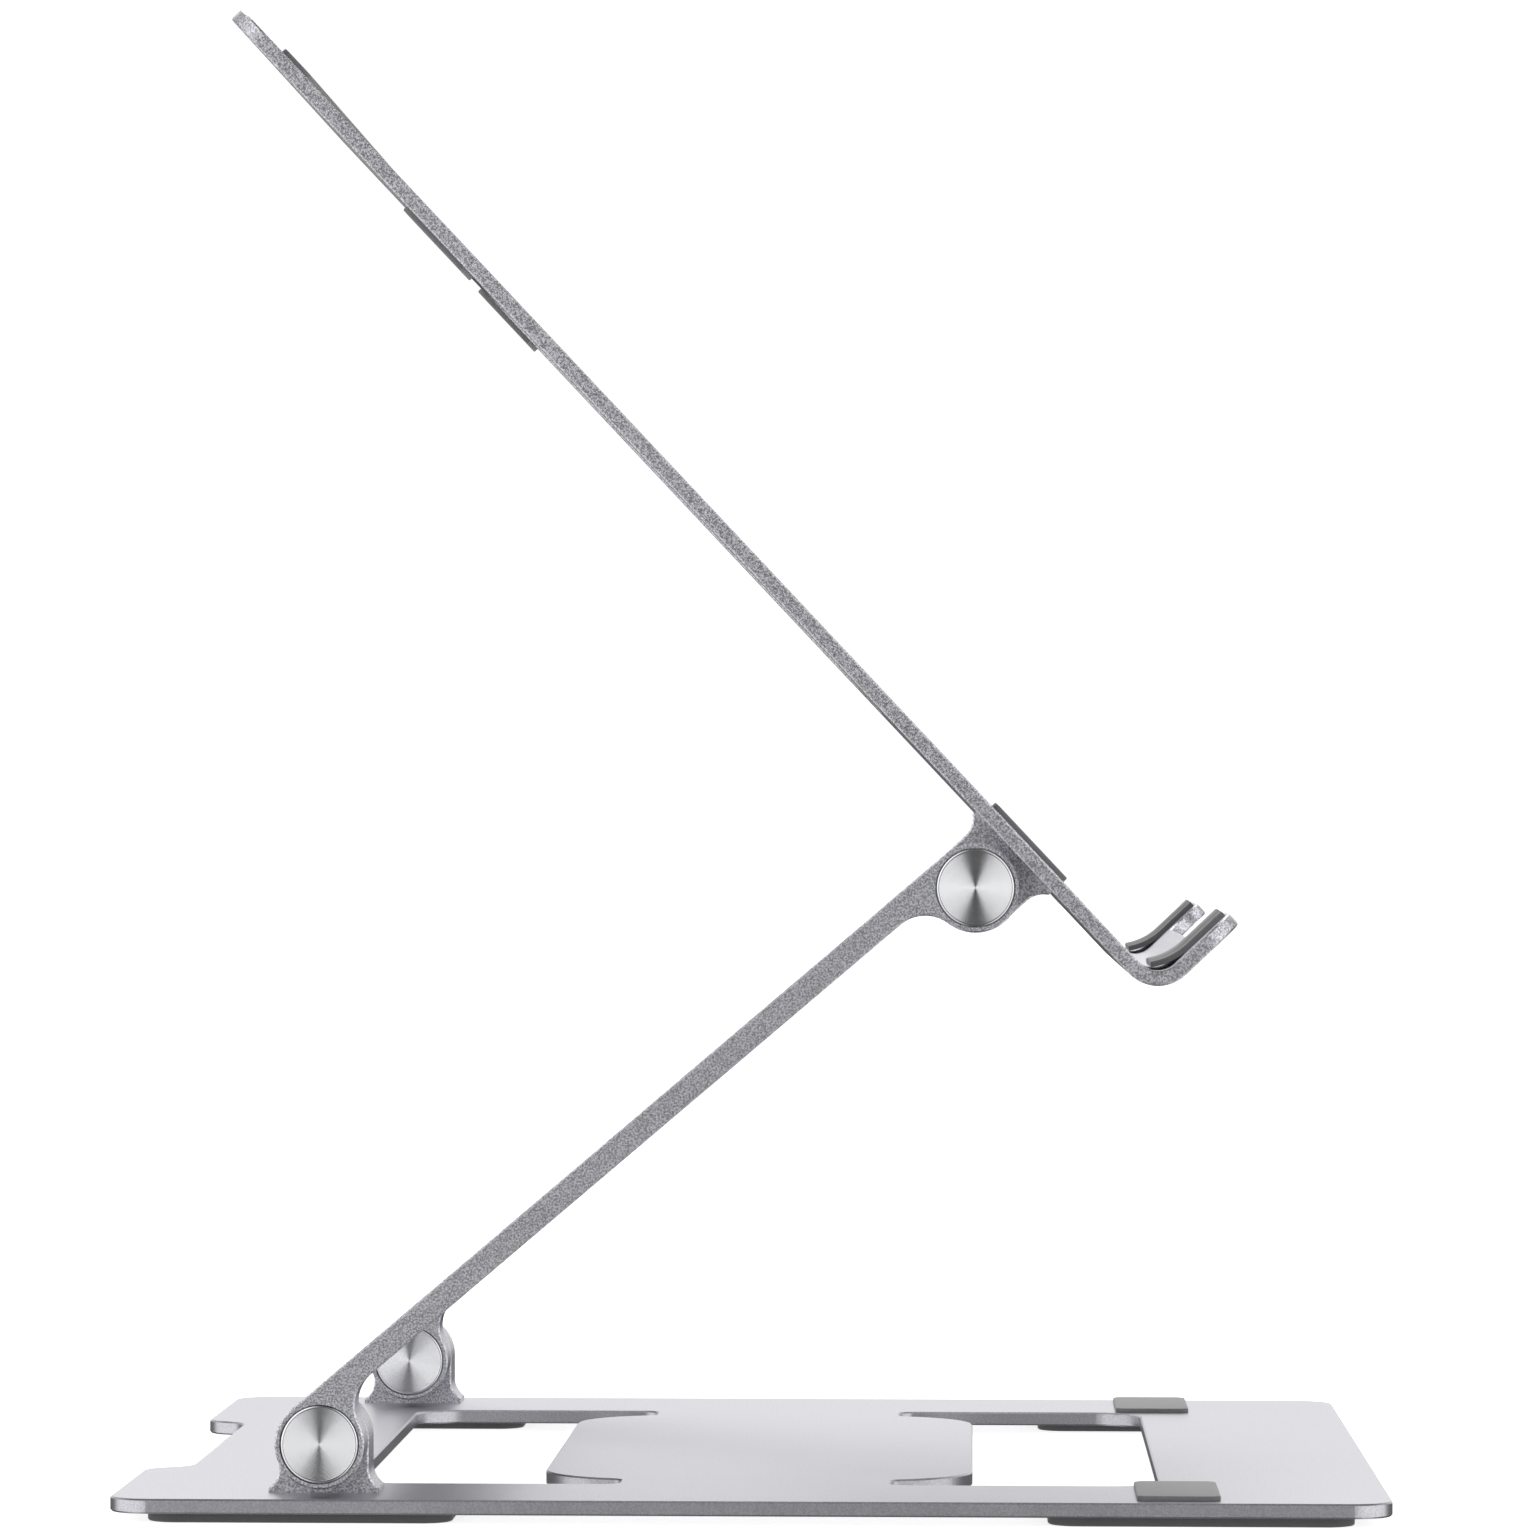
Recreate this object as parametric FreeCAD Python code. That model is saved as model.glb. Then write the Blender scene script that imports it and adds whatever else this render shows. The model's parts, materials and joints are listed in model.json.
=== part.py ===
import FreeCAD, Part

import math
import os

# Folding laptop stand. A base plate carries two friction hinges near its rear edge. A wide arm
# turns on them and carries two more friction hinges at its upper end, and the laptop tray turns
# on those. The stand folds flat: the arm lies down on the base and the tray lies down on the arm.
#
# Millimetres. The origin is the centre of the footprint, at the bottom of the feet. +X points to
# the user, where the hooks are, +Z is up, and -Y is the user's left.
# Arm pieces are drawn with the arm lying flat and its lower axis at the origin. Tray pieces are
# drawn with the tray lying flat and its hinge axis at the origin. Both are then turned to rest.

V = FreeCAD.Vector
Y_AXIS = V(0, 1, 0)

# Driving dimensions
WIDTH = 246.0                 # base and tray, across
PLATE = 3.0                   # thickness of the base and tray plates
CORNER_R = 8.0                # corners of the plates, in plan
EDGE = 0.35                   # broken edges of the aluminium pieces

BASE_LENGTH = 256.5
FOOT_HEIGHT = 2.0
ARM_LENGTH = 172.0            # lower axis to upper axis
ARM_ANGLE = 40.4              # arm above the base, at rest
TRAY_ANGLE = 46.7             # tray above the base, at rest
LOWER_AXIS_X = -86.0

# Hinges
LOBE_R = 9.0
AXIS_RISE = 10.55             # plate face to hinge axis
EAR_WIDTH = 9.5
EAR_GAP = 0.5                 # between ear and bracket, holds the friction washer
BRACKET_WIDTH = 12.0
HINGE_WIDTH = EAR_WIDTH + EAR_GAP + BRACKET_WIDTH
HINGE_INSET = 4.5             # from the side edge of the base
SHAFT_R = 3.0
RUNNING = 0.05                # radial clearance of a bore that turns on the shaft
FLARE_R = 5.0                 # concave sides of a bracket's foot
FLARE_TIP = 0.9               # thickness of the foot at its tips
BRACKET_FOOT_X = 11.15        # half length of the foot

# Inner pieces of a hinge. Each (first, last) span is along Y from the hinge's left face.
CAP_R = 7.75
CAP_SEAT_R = 8.0
CAP_SEAT = 2.2                # depth of the cap's seat
CAP_RECESS = 0.1
CAP_BEVEL = 0.25
CAP_THICK = 2.1
SKIRT_R = 6.5
SKIRT_INNER_R = 6.0
SKIRT_DEPTH = 1.4
EAR_CAVITY = 7.0              # depth of the nut's cavity in the ear
NUT_FLATS = 10.0
NUT = (2.7, 4.7)
SPRINGS = ((4.75, 5.75), (5.85, 6.85))
SPRING_R = 5.6
SPRING_CONE = 0.5             # how much narrower a spring is on its raised side
WASHER_R = 8.4
WASHER_THICK = 0.3
SHAFT_END = 2.5
SHAFT_BEVEL = 0.5
HEAD_FLATS = 9.5              # the shaft's head, where the bracket holds it still
HEAD_R = 5.4                  # the shaft's head, where it may turn
HEAD = 3.5                    # thickness of the shaft's head

# Bracket screws
SCREW_R = 1.5
SCREW_HEAD_R = 2.9
SCREW_CONE = 1.6
SCREW_DEPTH = 6.0             # in the bracket
SCREW_X = 6.4                 # either side of the axis
SCREW_Y = 4.6                 # from the bracket's left face
SOCKET_R = 1.0
SOCKET_DEPTH = 1.2

# Base plate
WINDOW_X = 82.7               # half length of the cut-out
WINDOW_Y = 87.5
WINDOW_R = 10.0
ISLAND_X = 44.5               # half length of the plate left inside the cut-out
ISLAND_Y = 76.5
ISLAND_R = 21.0
NECK_X = 27.75                # half length of the necks that join it to the rails
NECK_R = 3.0
NOTCH_DEPTH = 9.0
NOTCH_Y = 62.0                # half width of the rear finger notch, at its mouth

# Arm plate
BAR_BOTTOM = 4.0              # above the line between the axes
BAR_TOP = LOBE_R
BAR_FILLET = 7.5
WEB_START = 10.5              # from the lower axis
WEB_END = 12.5                # before the upper axis
WEB_CORNER = 1.5
WEB_INSET = 1.0               # from the left face of the left ear
ARM_WINDOW = (42.0, 130.0, 80.0, 12.0)        # first x, last x, half width, corner radius

# Tray plate
TRAY_REAR = -229.3
HOOK_FRONT = 41.2             # outer face of the hooks
BEND_R = 8.0                  # outer radius of the bend
HOOK_HEIGHT = 22.8            # from the underside of the tray
HOOK_WIDTH = 50.0
LIP_HEIGHT = 14.3             # the low lip between the hooks, from the underside
HOOK_TIP_R = 7.0
HOOK_ROOT_R = 4.5
HOOK_INNER_R = 3.0
TRAY_WINDOW = (-178.0, -42.0, 72.0, 22.0)     # first x, last x, half width, corner radius

# Soft pieces. Each Y span is measured inwards from the side edge of the plate.
FOOT_X = (59.5, 120.8)        # either side of the middle
FOOT_Y = (3.0, 28.0)
FOOT_CORNER = 6.0
FOOT_SOFT = 0.5               # radius of the edge that meets the desk
BASE_BUMP_X = (77.3, 94.0)
BASE_BUMP_Y = (4.0, 36.0)
BASE_BUMP = 1.04              # how far it stands up
TRAY_BUMP_X = (-177.7, -161.0)
TRAY_BUMP_Y = (6.0, 36.0)
TRAY_BUMP = 1.1
BUMP_CORNER = 2.0
LOWER_PAD_X = (-9.7, 11.2)
LOWER_PAD_Y = (5.0, 37.0)
LOWER_PAD = 1.1
STRIP_X = (-218.2, -210.6)
STRIP_Y = 10.0                # from the side edge of the tray to the strip's end
STRIP = 1.0
PAD_CORNER = 2.5
PAD_SOFT = 0.35               # radius of the edge round a pad's face
HOOK_PAD = 1.5
HOOK_PAD_Y = (9.0, 44.0)
HOOK_PAD_Z = (1.1, 19.0)      # above the tray's face
CURL_R = 15.0                 # the pad's lower end curls away from the bend
CURL_START = 9.5              # above the tray's face

BASE_TOP = FOOT_HEIGHT + PLATE
LOWER_AXIS_Z = BASE_TOP + AXIS_RISE
HALF_WIDTH = WIDTH / 2
TRAY_UNDER = AXIS_RISE
TRAY_TOP = TRAY_UNDER + PLATE
HOOK_FACE = HOOK_FRONT - PLATE
BRACKET_START = EAR_WIDTH + EAR_GAP
HEAD_TOP = HINGE_WIDTH - CAP_SEAT - SKIRT_DEPTH - 0.2

# First Y of each hinge. Both hinges have the ear on the left and the bracket on the right.
HINGES = {"left": HINGE_INSET - HALF_WIDTH, "right": HALF_WIDTH - HINGE_INSET - HINGE_WIDTH}
SIDES = {"left": -1, "right": 1}


# Drawing helpers

def in_plan(a, b):
    return V(a, b, 0)


def in_side(a, b):
    return V(a, 0, b)


def in_front(a, b):
    return V(0, a, b)


class Outline:
    """A closed outline of lines and arcs in one plane."""

    def __init__(self, plane, start):
        self.plane = plane
        self.start = start
        self.here = start
        self.edges = []

    def line(self, a, b):
        if math.hypot(a - self.here[0], b - self.here[1]) > 1e-6:
            self.edges.append(Part.LineSegment(self.plane(*self.here), self.plane(a, b)).toShape())
        self.here = (a, b)
        return self

    def arc(self, centre, radius, first, last):
        """Goes straight to the arc's start, then round it. The angles are in degrees."""
        ends = [self.on_arc(centre, radius, angle) for angle in (first, (first + last) / 2, last)]
        self.line(*ends[0])
        self.edges.append(Part.Arc(*[self.plane(*point) for point in ends]).toShape())
        self.here = ends[2]
        return self

    def on_arc(self, centre, radius, angle):
        turn = math.radians(angle)
        return (centre[0] + radius * math.cos(turn), centre[1] + radius * math.sin(turn))

    def extrude(self, offset, direction):
        self.line(*self.start)
        shape = Part.Face(Part.Wire(self.edges)).extrude(direction)
        shape.translate(offset)
        return shape


def block(x, y, z):
    """A box given by its lowest and highest X, Y and Z."""
    return Part.makeBox(x[1] - x[0], y[1] - y[0], z[1] - z[0], V(x[0], y[0], z[0]))


def upright_edges(shape):
    return [edge for edge in shape.Edges if abs(edge.tangentAt(edge.FirstParameter).z) > 0.999]


def rounded(x, y, z, radius):
    """A box with its four upright corners rounded."""
    shape = block(x, y, z)
    return shape.makeFillet(radius, upright_edges(shape))


def flat_edges(shape, z):
    return [edge for edge in shape.Edges if abs(edge.BoundBox.ZMin - z) < 1e-4
            and abs(edge.BoundBox.ZMax - z) < 1e-4]


def side_edges(shape, y):
    return [edge for edge in shape.Edges if abs(edge.BoundBox.YMin - y) < 1e-4
            and abs(edge.BoundBox.YMax - y) < 1e-4]


def along_y(radius, y, x=0.0, z=0.0):
    """A round bar along Y."""
    return Part.makeCylinder(radius, y[1] - y[0], V(x, y[0], z), Y_AXIS)


def washer(outer, inner, y):
    return along_y(outer, y).cut(along_y(inner, (y[0] - 1, y[1] + 1)))


def hexagon(across_flats, y):
    """A hexagonal bar along Y."""
    radius = across_flats / math.sqrt(3)
    corners = [V(radius * math.cos(math.radians(60 * k)), y[0], radius * math.sin(math.radians(60 * k)))
               for k in range(7)]
    return Part.Face(Part.makePolygon(corners)).extrude(V(0, y[1] - y[0], 0))


def moved(shape, x=0.0, y=0.0, z=0.0):
    copy = shape.copy()
    copy.translate(V(x, y, z))
    return copy


# Placing and saving

def turned_about_y(shape, degrees, x, z):
    copy = shape.copy()
    copy.rotate(V(0, 0, 0), Y_AXIS, degrees)
    copy.translate(V(x, 0, z))
    return copy


def on_base(shape):
    return shape


def on_lower_axis(shape):
    return moved(shape, LOWER_AXIS_X, 0, LOWER_AXIS_Z)


def on_arm(shape):
    return turned_about_y(shape, -ARM_ANGLE, LOWER_AXIS_X, LOWER_AXIS_Z)


def on_tray(shape):
    lift = math.radians(ARM_ANGLE)
    x = LOWER_AXIS_X + ARM_LENGTH * math.cos(lift)
    z = LOWER_AXIS_Z + ARM_LENGTH * math.sin(lift)
    return turned_about_y(shape, TRAY_ANGLE, x, z)


def save(name, shape, place=on_base):
    placed = place(shape)
    for solid in placed.Solids:
        if not solid.isValid():
            print("not valid:", name)
    placed.exportStep("parts/" + name + ".step")


# Base

def base_outline():
    """The rounded plate with its shallow finger notch in the rear edge."""
    x = BASE_LENGTH / 2
    y = HALF_WIDTH
    r = CORNER_R
    # the notch runs in and out on two arcs of the same radius
    sweep = math.degrees(math.acos(1 - NOTCH_DEPTH / (2 * r)))
    shift = 2 * r * math.sin(math.radians(sweep))
    outline = Outline(in_plan, (-x + r, -y))
    outline.arc((x - r, -y + r), r, -90, 0)
    outline.arc((x - r, y - r), r, 0, 90)
    outline.arc((-x + r, y - r), r, 90, 180)
    outline.arc((-x + r, NOTCH_Y), r, 180, 180 + sweep)
    outline.arc((-x + NOTCH_DEPTH - r, NOTCH_Y - shift), r, sweep, 0)
    outline.arc((-x + NOTCH_DEPTH - r, shift - NOTCH_Y), r, 0, -sweep)
    outline.arc((-x + r, -NOTCH_Y), r, 180 - sweep, 180)
    outline.arc((-x + r, -y + r), r, 180, 270)
    return outline


def base_cutout():
    """The opening round the island: two windows and the slots beside the necks."""
    z = (FOOT_HEIGHT - 1, BASE_TOP + 1)
    opening = rounded((-WINDOW_X, WINDOW_X), (-WINDOW_Y, WINDOW_Y), z, WINDOW_R)
    island = rounded((-ISLAND_X, ISLAND_X), (-ISLAND_Y, ISLAND_Y), z, ISLAND_R)
    necks = block((-NECK_X, NECK_X), (-WINDOW_Y - 1, WINDOW_Y + 1), z)
    opening = opening.cut(island.fuse(necks))
    neck_ends = [edge for edge in upright_edges(opening) if abs(abs(edge.CenterOfMass.x) - NECK_X) < 1e-3]
    return opening.makeFillet(NECK_R, neck_ends)


def screw_holes(under, rise, at_x, at_y):
    """Countersunk clearance holes through a plate, from its outer face."""
    tools = []
    for x, y in screw_places(at_x, at_y):
        tools.append(Part.makeCone(SCREW_HEAD_R, SCREW_R, SCREW_CONE, V(x, y, under), V(0, 0, rise)))
        tools.append(Part.makeCylinder(SCREW_R, PLATE, V(x, y, under), V(0, 0, rise)))
    return tools


def screw_places(axis_x, bracket_y):
    return [(axis_x + side * SCREW_X, bracket_y + SCREW_Y) for side in (-1, 1)]


def bracket_starts():
    return [first + EAR_WIDTH + EAR_GAP for first in HINGES.values()]


def plate_screws(axis_x, under, rise):
    """The four countersunk screws that hold two brackets on a plate, with hexagon sockets."""
    screws = []
    up = V(0, 0, rise)
    for bracket_y in bracket_starts():
        for x, y in screw_places(axis_x, bracket_y):
            head = Part.makeCone(SCREW_HEAD_R, SCREW_R, SCREW_CONE, V(x, y, under), up)
            shank = Part.makeCylinder(SCREW_R, PLATE + SCREW_DEPTH, V(x, y, under), up)
            socket = Part.makeCylinder(SOCKET_R, SOCKET_DEPTH, V(x, y, under), up)
            screws.append(head.fuse(shank).cut(socket).removeSplitter())
    return Part.makeCompound(screws)


def base_plate():
    plate = base_outline().extrude(V(0, 0, FOOT_HEIGHT), V(0, 0, PLATE)).cut(base_cutout())
    rims = flat_edges(plate, BASE_TOP) + flat_edges(plate, FOOT_HEIGHT)
    plate = plate.makeChamfer(EDGE, rims)
    for bracket_y in bracket_starts():
        for tool in screw_holes(FOOT_HEIGHT, 1, LOWER_AXIS_X, bracket_y):
            plate = plate.cut(tool)
    return plate


def pad(x, y, z, corner, soft_z, soft):
    """A flat pad with rounded corners, and softened edges on the face at height soft_z."""
    shape = rounded(x, y, z, corner)
    return shape.makeFillet(soft, flat_edges(shape, soft_z))


def span_at(side, from_edge):
    """The Y span of a piece whose distances from the side edge are given."""
    return tuple(sorted(SIDES[side] * (HALF_WIDTH - distance) for distance in from_edge))


def feet():
    for end, sign in (("front", 1), ("rear", -1)):
        for side in SIDES:
            x = tuple(sorted(sign * distance for distance in FOOT_X))
            foot = pad(x, span_at(side, FOOT_Y), (0, FOOT_HEIGHT), FOOT_CORNER, 0, FOOT_SOFT)
            save("foot_" + end + "_" + side, foot)


def base_bumps():
    top = BASE_TOP + BASE_BUMP
    for side in SIDES:
        y = span_at(side, BASE_BUMP_Y)
        bump = pad(BASE_BUMP_X, y, (BASE_TOP, top), BUMP_CORNER, top, PAD_SOFT)
        save("base_bump_" + side, bump)


# Hinge pieces, drawn on the axis, with Y from the hinge's left face

def cap(outer_face, inwards):
    """A turned disc with a bevelled rim and a skirt that presses into the cavity behind it."""
    def span(near, far):
        return tuple(sorted((outer_face + inwards * near, outer_face + inwards * far)))
    disc = along_y(CAP_R, span(CAP_RECESS, CAP_THICK))
    rim = side_edges(disc, outer_face + inwards * CAP_RECESS)
    disc = disc.makeChamfer(CAP_BEVEL, rim)
    skirt = washer(SKIRT_R, SKIRT_INNER_R, span(CAP_THICK, CAP_THICK + SKIRT_DEPTH))
    return disc.fuse(skirt).removeSplitter()


def shaft(keyed):
    """A flanged pin. A keyed one has a hexagon head that the bracket holds still."""
    head_span = (HEAD_TOP - HEAD, HEAD_TOP)
    head = hexagon(HEAD_FLATS, head_span) if keyed else along_y(HEAD_R, head_span)
    pin = along_y(SHAFT_R, (SHAFT_END, HEAD_TOP - HEAD))
    pin = pin.makeChamfer(SHAFT_BEVEL, side_edges(pin, SHAFT_END))
    return pin.fuse(head).removeSplitter()


def friction_washer():
    return washer(WASHER_R, SHAFT_R, (BRACKET_START - WASHER_THICK, BRACKET_START))


def disc_springs():
    """Two coned spring washers, back to back."""
    springs = []
    narrow = SPRING_R - SPRING_CONE
    for (first, last), radii in zip(SPRINGS, ((narrow, SPRING_R), (SPRING_R, narrow))):
        cone = Part.makeCone(radii[0], radii[1], last - first, V(0, first, 0), Y_AXIS)
        springs.append(cone.cut(along_y(SHAFT_R, (first - 1, last + 1))))
    return Part.makeCompound(springs)


def lock_nut():
    return hexagon(NUT_FLATS, NUT).cut(along_y(SHAFT_R, (NUT[0] - 1, NUT[1] + 1)))


def bracket(keyed):
    """The fixed half of a hinge: a round-topped block on a flared foot, foot down."""
    flare_x = LOBE_R + FLARE_R
    lean = math.acos((flare_x - BRACKET_FOOT_X) / FLARE_R)
    flare_z = -AXIS_RISE + FLARE_TIP + FLARE_R * math.sin(lean)
    sweep = math.degrees(lean)
    outline = Outline(in_side, (-BRACKET_FOOT_X, -AXIS_RISE))
    outline.line(BRACKET_FOOT_X, -AXIS_RISE)
    outline.arc((flare_x, flare_z), FLARE_R, 180 + sweep, 180)
    outline.arc((0, 0), LOBE_R, 0, 180)
    outline.arc((-flare_x, flare_z), FLARE_R, 0, -sweep)
    body = outline.extrude(V(0, BRACKET_START, 0), V(0, BRACKET_WIDTH, 0))
    rims = side_edges(body, BRACKET_START) + side_edges(body, HINGE_WIDTH)
    rims = [edge for edge in rims if edge.BoundBox.ZMax > -AXIS_RISE + 0.01 and edge.Length > 1]
    body = body.makeChamfer(EDGE, rims)
    body = body.cut(along_y(CAP_SEAT_R, (HINGE_WIDTH - CAP_SEAT, HINGE_WIDTH + 1)))
    body = body.cut(along_y(SKIRT_R, (HEAD_TOP, HINGE_WIDTH)))
    head_span = (HEAD_TOP - HEAD, HINGE_WIDTH)
    seat = hexagon(HEAD_FLATS, head_span) if keyed else along_y(HEAD_R + RUNNING, head_span)
    bore_r = SHAFT_R if keyed else SHAFT_R + RUNNING
    body = body.cut(seat).cut(along_y(bore_r, (BRACKET_START - 1, HINGE_WIDTH)))
    for x, y in screw_places(0, BRACKET_START):
        body = body.cut(Part.makeCylinder(SCREW_R, SCREW_DEPTH, V(x, y, -AXIS_RISE)))
    return body


def ear_cavity(axis_x):
    """What is bored out of an ear: the cap's seat, the nut's cavity and the running bore."""
    tools = [along_y(CAP_SEAT_R, (-1, CAP_SEAT), axis_x), along_y(SKIRT_R, (-1, EAR_CAVITY), axis_x)]
    tools.append(along_y(SHAFT_R + RUNNING, (-1, EAR_WIDTH + 1), axis_x))
    return tools


def turned_over(shape):
    """Turns a hinge piece drawn foot down into one that hangs from the tray, foot up."""
    copy = shape.copy()
    copy.rotate(V(0, 0, 0), Y_AXIS, 180)
    return copy


# Arm

def ear_outline():
    """The side of the arm: a bar with a round lobe under each end and a fillet beside each lobe."""
    drop = BAR_BOTTOM - BAR_FILLET
    reach = math.sqrt((LOBE_R + BAR_FILLET) ** 2 - drop ** 2)
    meet = math.degrees(math.atan2(drop, reach))
    outline = Outline(in_side, (0, BAR_TOP))
    outline.arc((0, 0), LOBE_R, 90, 360 + meet)
    outline.arc((reach, drop), BAR_FILLET, 180 + meet, 90)
    outline.arc((ARM_LENGTH - reach, drop), BAR_FILLET, 90, -meet)
    outline.arc((ARM_LENGTH, 0), LOBE_R, 180 - meet, 450)
    return outline


def arm_plate():
    """Two ears joined by a wide web with a window in it."""
    x0, x1, half, radius = ARM_WINDOW
    z = (BAR_BOTTOM, BAR_TOP)
    tall = (BAR_BOTTOM - 1, BAR_TOP + 1)
    y0 = HINGES["left"] + WEB_INSET
    y1 = HINGES["right"] + HINGE_WIDTH
    arm = rounded((WEB_START, ARM_LENGTH - WEB_END), (y0, y1), z, WEB_CORNER)
    arm = arm.cut(rounded((x0, x1), (-half, half), tall, radius))
    arm = arm.makeChamfer(EDGE, flat_edges(arm, BAR_TOP) + flat_edges(arm, BAR_BOTTOM))
    for first in HINGES.values():
        ear = ear_outline().extrude(V(0, 0, 0), V(0, EAR_WIDTH, 0))
        ear = ear.makeChamfer(EDGE, side_edges(ear, 0) + side_edges(ear, EAR_WIDTH))
        for axis_x in (0, ARM_LENGTH):
            for tool in ear_cavity(axis_x):
                ear = ear.cut(tool)
        arm = arm.fuse(moved(ear, y=first))
    return arm.removeSplitter()


# Tray

def tray_profile():
    """The tray from the side: a flat plate that bends up into the hooks at the front."""
    bend_x = HOOK_FRONT - BEND_R
    bend = (bend_x, TRAY_UNDER + BEND_R)
    tip = TRAY_UNDER + HOOK_HEIGHT
    outline = Outline(in_side, (TRAY_REAR, TRAY_UNDER))
    outline.arc(bend, BEND_R, -90, 0)
    outline.line(HOOK_FRONT, tip)
    outline.line(HOOK_FACE, tip)
    outline.arc(bend, BEND_R - PLATE, 0, -90)
    outline.line(TRAY_REAR, TRAY_TOP)
    return outline


def front_outline():
    """The hooks and the low lip between them, seen from the front."""
    tip = TRAY_UNDER + HOOK_HEIGHT
    lip = TRAY_UNDER + LIP_HEIGHT
    inner = HALF_WIDTH - HOOK_WIDTH
    outline = Outline(in_front, (-HALF_WIDTH, TRAY_UNDER))
    outline.line(HALF_WIDTH, TRAY_UNDER)
    outline.arc((HALF_WIDTH - HOOK_TIP_R, tip - HOOK_TIP_R), HOOK_TIP_R, 0, 90)
    outline.arc((inner + HOOK_INNER_R, tip - HOOK_INNER_R), HOOK_INNER_R, 90, 180)
    outline.arc((inner - HOOK_ROOT_R, lip + HOOK_ROOT_R), HOOK_ROOT_R, 0, -90)
    outline.arc((HOOK_ROOT_R - inner, lip + HOOK_ROOT_R), HOOK_ROOT_R, -90, -180)
    outline.arc((-inner - HOOK_INNER_R, tip - HOOK_INNER_R), HOOK_INNER_R, 0, 90)
    outline.arc((HOOK_TIP_R - HALF_WIDTH, tip - HOOK_TIP_R), HOOK_TIP_R, 90, 180)
    return outline


def tray_plate():
    plate = tray_profile().extrude(V(0, -HALF_WIDTH, 0), V(0, WIDTH, 0))
    corners = [edge for edge in upright_edges(plate) if abs(edge.CenterOfMass.x - TRAY_REAR) < 1e-3]
    plate = plate.makeFillet(CORNER_R, corners)
    front = front_outline().extrude(V(TRAY_REAR - 1, 0, 0), V(HOOK_FRONT - TRAY_REAR + 2, 0, 0))
    plate = plate.common(front)
    x0, x1, half, radius = TRAY_WINDOW
    plate = plate.cut(rounded((x0, x1), (-half, half), (TRAY_UNDER - 1, TRAY_TOP + 1), radius))
    rims = flat_edges(plate, TRAY_TOP) + flat_edges(plate, TRAY_UNDER)
    rims = [edge for edge in rims if edge.BoundBox.XMax < HOOK_FRONT - BEND_R + 0.01
            and not (edge.BoundBox.XMin > HOOK_FRONT - BEND_R - 0.01)]
    plate = plate.makeChamfer(EDGE, rims)
    for bracket_y in bracket_starts():
        for tool in screw_holes(TRAY_TOP, -1, 0, bracket_y):
            plate = plate.cut(tool)
    return plate


def hook_pad(side):
    """A strip on the inner face of a hook. Its lower end curls away from the bend."""
    low, top = (TRAY_TOP + height for height in HOOK_PAD_Z)
    centre = (HOOK_FACE - CURL_R, TRAY_TOP + CURL_START)
    turn = -math.degrees(math.asin((centre[1] - low) / CURL_R))
    outline = Outline(in_side, (HOOK_FACE - HOOK_PAD, top))
    outline.arc(centre, CURL_R - HOOK_PAD, 0, turn)
    outline.arc(centre, CURL_R, turn, 0)
    outline.line(HOOK_FACE, top)
    y = span_at(side, HOOK_PAD_Y)
    return outline.extrude(V(0, y[0], 0), V(0, y[1] - y[0], 0))


def tray_pads():
    pad_top = TRAY_TOP + LOWER_PAD
    strip_top = TRAY_TOP + STRIP
    bump_low = TRAY_UNDER - TRAY_BUMP
    strip_y = (STRIP_Y - HALF_WIDTH, HALF_WIDTH - STRIP_Y)
    for side in SIDES:
        y = span_at(side, LOWER_PAD_Y)
        lower = pad(LOWER_PAD_X, y, (TRAY_TOP, pad_top), PAD_CORNER, pad_top, PAD_SOFT)
        save("lower_pad_" + side, lower, on_tray)
        y = span_at(side, TRAY_BUMP_Y)
        bump = pad(TRAY_BUMP_X, y, (bump_low, TRAY_UNDER), BUMP_CORNER, bump_low, PAD_SOFT)
        save("tray_bump_" + side, bump, on_tray)
        save("hook_pad_" + side, hook_pad(side), on_tray)
    strip = pad(STRIP_X, strip_y, (TRAY_TOP, strip_top), PAD_CORNER, strip_top, PAD_SOFT)
    save("support_strip", strip, on_tray)


def hinge_line(prefix, place, keyed, arm_x, arm_caps, bracket_name, turn):
    """One pair of hinges: both sides have the same pieces, moved along Y."""
    for side, first in HINGES.items():
        def at(shape):
            return moved(turn(shape), y=first)
        save(bracket_name + "_" + side, at(bracket(keyed)), place)
        save(bracket_name + "_cap_" + side, at(cap(HINGE_WIDTH, -1)), place)
        save(prefix + "_shaft_" + side, at(shaft(keyed)), place)
        save(prefix + "_friction_washer_" + side, at(friction_washer()), place)
        save(prefix + "_disc_springs_" + side, at(disc_springs()), place)
        save(prefix + "_lock_nut_" + side, at(lock_nut()), place)
        save(arm_caps + "_" + side, moved(cap(0, 1), arm_x, first), on_arm)


os.makedirs("parts", exist_ok=True)
save("base_plate", base_plate())
feet()
base_bumps()
save("base_bracket_screws", plate_screws(LOWER_AXIS_X, FOOT_HEIGHT, 1))
save("arm_plate", arm_plate(), on_arm)
save("tray_plate", tray_plate(), on_tray)
save("tray_bracket_screws", plate_screws(0, TRAY_TOP, -1), on_tray)
tray_pads()
hinge_line("lower", on_lower_axis, True, 0, "arm_lower_cap", "base_bracket", moved)
hinge_line("upper", on_tray, False, ARM_LENGTH, "arm_upper_cap", "tray_bracket", turned_over)
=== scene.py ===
import json
import math

import bmesh
import bpy
from mathutils import Matrix, Vector


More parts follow.
